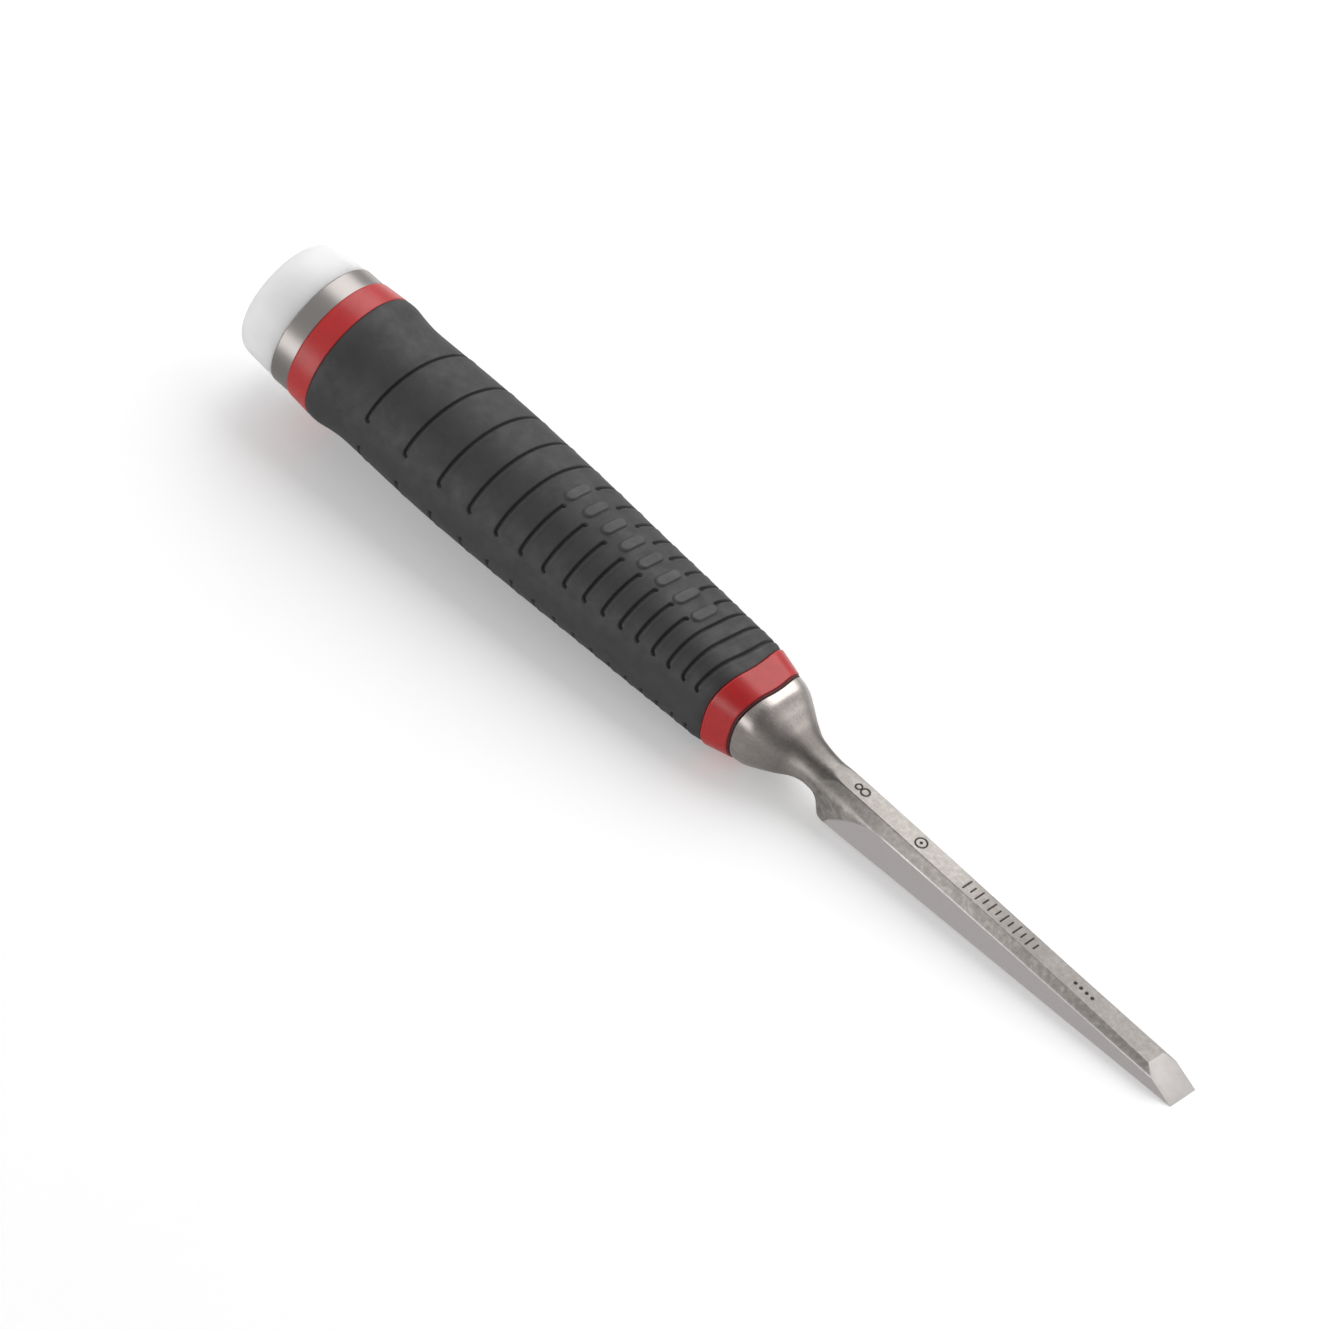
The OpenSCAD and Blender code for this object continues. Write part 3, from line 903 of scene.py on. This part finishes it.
def dark_washer():
    s = Shader("dark_washer")
    # Dark red as painted shade: the washer stands in for the shadow line between the front band and the
    # bolster.
    s.colour(s.ramp(s.noise(1.5, 3), [(0.3, (0.085, 0.008, 0.011)), (0.7, (0.13, 0.012, 0.016))]))
    s.rough(s.grey(s.noise(3, 3), 0.5, 0.7))
    s.bump([(s.noise(6, 2), 0.3, 0.03)])
    return s.material


def blade_steel():
    """Tumbled forged skin and brushed bolster, with the ground places and the marks mixed in, a painted
    highlight along the ground side's upper edge, and painted light and shade by facing and along the blade.
    """
    s = Shader("blade_steel")
    x = s.split(s.mm, "X")
    normal = s.node("ShaderNodeNewGeometry").outputs["Normal"]
    slanted = s.grey(s.math("ABSOLUTE", s.split(normal, "Y")), 0, 1, 0.25, 0.55)
    level = s.grey(s.split(normal, "Z"), 0, 1, 0.55, 0.85)
    forged_part = s.grey(x, 0, 1, 160, 168)

    mottle = s.noise(0.8, 6, 0.62)
    forged = s.ramp(
        mottle, [(0.32, (0.29, 0.268, 0.252)), (0.52, (0.37, 0.345, 0.325)), (0.70, (0.50, 0.47, 0.446))]
    )
    # Painted light and shade: the top face and the slanted faces are made lighter and darker from place to
    # place along the blade, and steep faces about twice as light, for how the lamps fall on them.
    top_painted_shading = s.along(x, [(170, 0.78), (184, 1.0), (204, 0.97), (214, 0.70), (226, 0.61), (262, 0.73)])
    slant_painted_shading = s.along(x, [(168, 0.42), (176, 0.60), (186, 0.93), (194, 0.95), (202, 1.2), (262, 1.2)])
    wall_painted_shading = s.grey(s.split(normal, "Z"), 2.1, 1.0, 0.12, 0.42)
    forged = s.scaled(s.scaled(forged, s.mixed(slanted, top_painted_shading, slant_painted_shading)), wall_painted_shading)
    forged = s.scaled(forged, s.grey(s.noise(0.16, 3), 0.90, 1.0, 0.35, 0.65))

    brushing = s.noise(1.0, 5, 0.65, s.stretched((0.35, 2.2, 2.2)))
    brushed = s.ramp(brushing, [(0.3, (0.43, 0.393, 0.369)), (0.7, (0.58, 0.532, 0.502))])
    neck = s.grey(x, 0, 1, 153, 158.5)
    # Painted light and shade on the brushed bolster and neck: up-facing faces are lighter on the bolster and
    # much darker on the neck, and the side faces darker near x = 158.
    neck_side_painted_shading = s.along(x, [(150, 0.84), (154, 0.76), (158, 0.60), (162, 0.84), (172, 0.88)])
    neck_top_painted_shading = s.along(x, [(150, 1.10), (154, 1.12), (158, 0.46), (162, 0.30), (168, 0.25), (172, 0.25)])
    brushed = s.scaled(brushed, s.mixed(level, neck_side_painted_shading, neck_top_painted_shading))

    scratches = s.noise(1.0, 5, 0.7, s.stretched((0.5, 7, 7)))
    smooth = s.ramp(scratches, [(0.3, (0.69, 0.645, 0.642)), (0.7, (0.77, 0.720, 0.717))])
    ground = s.attribute("ground")
    body = s.mix(ground, s.mix(forged_part, brushed, forged), smooth)
    # Painted highlight along the ground side's upper edge.
    body = s.mix(s.attribute("edge_highlight"), body, (0.84, 0.80, 0.79))
    s.colour(s.mix(s.attribute("mark"), body, (0.03, 0.026, 0.024)))
    brushed_rough = s.mixed(neck, s.grey(brushing, 0.28, 0.38), 0.48)
    skin_rough = s.mixed(forged_part, brushed_rough, s.grey(mottle, 0.34, 0.50))
    s.rough(s.mixed(ground, skin_rough, s.grey(scratches, 0.30, 0.40)))
    s.set(Metallic=0.95)
    height = s.mixed(ground, s.mixed(forged_part, brushing, mottle), scratches)
    s.bump([(height, 0.35, 0.08), (s.noise(5.5, 3), 0.25, 0.025)])
    return s.material


def bevel_steel():
    s = Shader("bevel_steel")
    scratches = s.noise(1.0, 5, 0.7, s.stretched((8, 0.5, 8)))
    clouds = s.ramp(s.noise(0.35, 4), [(0.3, (0.425, 0.402, 0.39)), (0.7, (0.475, 0.45, 0.437))])
    s.colour(s.scaled(clouds, s.grey(scratches, 0.93, 1.0)))
    s.rough(s.grey(scratches, 0.42, 0.54))
    s.set(Metallic=0.92)
    s.bump([(scratches, 0.3, 0.02)])
    return s.material


def floor_paint():
    """White paint, lifted a little where the camera sees it, and clear from below."""
    s = Shader("floor_paint")
    s.colour(s.ramp(s.noise(0.01, 2), [(0.3, (0.80, 0.80, 0.80)), (0.7, (0.82, 0.82, 0.82))]))
    s.rough(s.grey(s.noise(0.5, 2), 0.55, 0.65))
    s.set(Emission_Color=(1, 1, 1, 1))
    seen = s.node("ShaderNodeLightPath").outputs["Is Camera Ray"]
    s.link(s.grey(seen, 0.0, 0.30, 0, 1), s.bsdf.inputs["Emission Strength"])
    one_sided = s.node("ShaderNodeMixShader")
    towards_eye = s.node("ShaderNodeNewGeometry").outputs["Incoming"]
    s.link(s.math("LESS_THAN", s.split(towards_eye, "Z"), 0.0), one_sided.inputs[0])
    s.link(s.bsdf.outputs[0], one_sided.inputs[1])
    s.link(s.node("ShaderNodeBsdfTransparent").outputs[0], one_sided.inputs[2])
    s.link(one_sided.outputs[0], s.tree.nodes["Material Output"].inputs["Surface"])
    return s.material


# ---------------------------------------------------------------- stage


def build_floor():
    """Plain pale floor that the belly of the grip and the cutting edge both touch."""
    belly_x = 101.0
    gap = 0.1
    belly_z = -float(grip_half(belly_x)) - gap
    slope = (EDGE_Z - belly_z) / (TIP - belly_x)
    size = 6000
    corners = []
    for x, y in ((-size, -size), (size, -size), (size, size), (-size, size)):
        corners.append((x, y, belly_z + slope * (x - belly_x)))
    floor = make_piece("floor", corners, [(0, 1, 2, 3)])
    floor.data.materials.append(floor_paint())
    floor.visible_glossy = False
    floor.visible_shadow = False


def add_area(name, direction, distance, size, power, aim=(0.14, 0, 0)):
    """Soft rectangular lamp in a direction from the tool, facing it."""
    lamp = bpy.data.lights.new(name, "AREA")
    lamp.shape = "RECTANGLE"
    lamp.size, lamp.size_y = size
    lamp.energy = power
    holder = bpy.data.objects.new(name, lamp)
    aim = Vector(aim)
    holder.location = aim + Vector(direction).normalized() * distance
    facing = (holder.location - aim).normalized()
    across = facing.cross(Vector((1, 0, 0))).normalized()
    turn = Matrix((across.cross(facing), across, facing)).transposed()
    holder.matrix_world = Matrix.Translation(holder.location) @ turn.to_4x4()
    bpy.context.scene.collection.objects.link(holder)


def build_world():
    """Even light all round, weaker from below and from a darker patch on the camera's side."""
    world = bpy.data.worlds.new("studio")
    world.use_nodes = True
    tree = world.node_tree
    direction = tree.nodes.new("ShaderNodeTexCoord").outputs["Generated"]

    def level(source, values):
        made = tree.nodes.new("ShaderNodeMapRange")
        tree.links.new(source, made.inputs["Value"])
        for name, value in zip(("From Min", "From Max", "To Min", "To Max"), values):
            made.inputs[name].default_value = value
        return made.outputs["Result"]

    split = tree.nodes.new("ShaderNodeSeparateXYZ")
    tree.links.new(direction, split.inputs[0])
    facing = tree.nodes.new("ShaderNodeVectorMath")
    facing.operation = "DOT_PRODUCT"
    tree.links.new(direction, facing.inputs[0])
    facing.inputs[1].default_value = Vector((0.55, -0.6, 0.58)).normalized()
    product = tree.nodes.new("ShaderNodeMath")
    product.operation = "MULTIPLY"
    tree.links.new(level(split.outputs["Z"], (-0.8, 0.0, 0.40, 0.54)), product.inputs[0])
    tree.links.new(level(facing.outputs["Value"], (0.70, 0.90, 1.0, 0.35)), product.inputs[1])
    tree.nodes["Background"].inputs["Color"].default_value = (1, 1, 1, 1)
    tree.links.new(product.outputs[0], tree.nodes["Background"].inputs["Strength"])
    bpy.context.scene.world = world


def build_lights():
    """Large soft box over the far side and long strips low on both sides."""
    add_area("key_box", (-0.1, 0.616, 0.788), 1.5, (2.1, 1.46), 17.5)
    add_area("near_strip", (-0.35, -0.93, -0.13), 1.2, (1.5, 0.56), 4.8)
    add_area("far_strip", (-0.32, 0.87, -0.37), 1.2, (1.5, 0.5), 1.6)


def build_camera():
    """Long-lens camera that looks down on the tool from above its -Y side, a little ahead of it."""
    right = Vector((0.7031, 0.6818, 0.2019))
    up = Vector((-0.6198, 0.4483, 0.6441))
    back = right.cross(up).normalized()
    up = back.cross(right).normalized()
    centre = Vector((110.4, 15.4, -29.4)) * MM
    view_width = 0.286
    distance = 10.0
    camera = bpy.data.objects.new("camera", bpy.data.cameras.new("camera"))
    camera.data.sensor_width = 36
    camera.data.lens = camera.data.sensor_width * distance / view_width
    camera.data.clip_end = 20
    turn = Matrix((right, up, back)).transposed()
    camera.matrix_world = Matrix.Translation(centre + back * distance) @ turn.to_4x4()
    bpy.context.scene.collection.objects.link(camera)
    bpy.context.scene.camera = camera


def build_tool():
    """Every visible piece, in place of its CAD node, and the CAD's own inner pieces with their finish."""
    finish_piece(build_strike_cap(), "strike_cap", "white_nylon", white_nylon())
    finish_piece(build_strike_hoop(), "strike_hoop", "hoop_steel", hoop_steel())
    finish_piece(build_handle_core(), "handle_core", "red_plastic", red_plastic())
    finish_piece(build_grip_sleeve(), "grip_sleeve", "black_grip", black_grip())
    finish_piece(build_bolster_washer(), "bolster_washer", "dark_washer", dark_washer())
    forging = build_blade_forging()
    finish_piece(forging, "blade_forging", "blade_steel", blade_steel(), bevel_steel())
    sort_forging_faces(forging)
    zinc = zinc_steel()
    for name in ("strike_plate", "tang_nut", "tang_washer"):
        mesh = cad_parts[name].data
        mesh.materials.clear()
        mesh.materials.append(zinc)


build_tool()
build_floor()
build_world()
build_lights()
build_camera()
bpy.context.scene.view_settings.view_transform = "Standard"
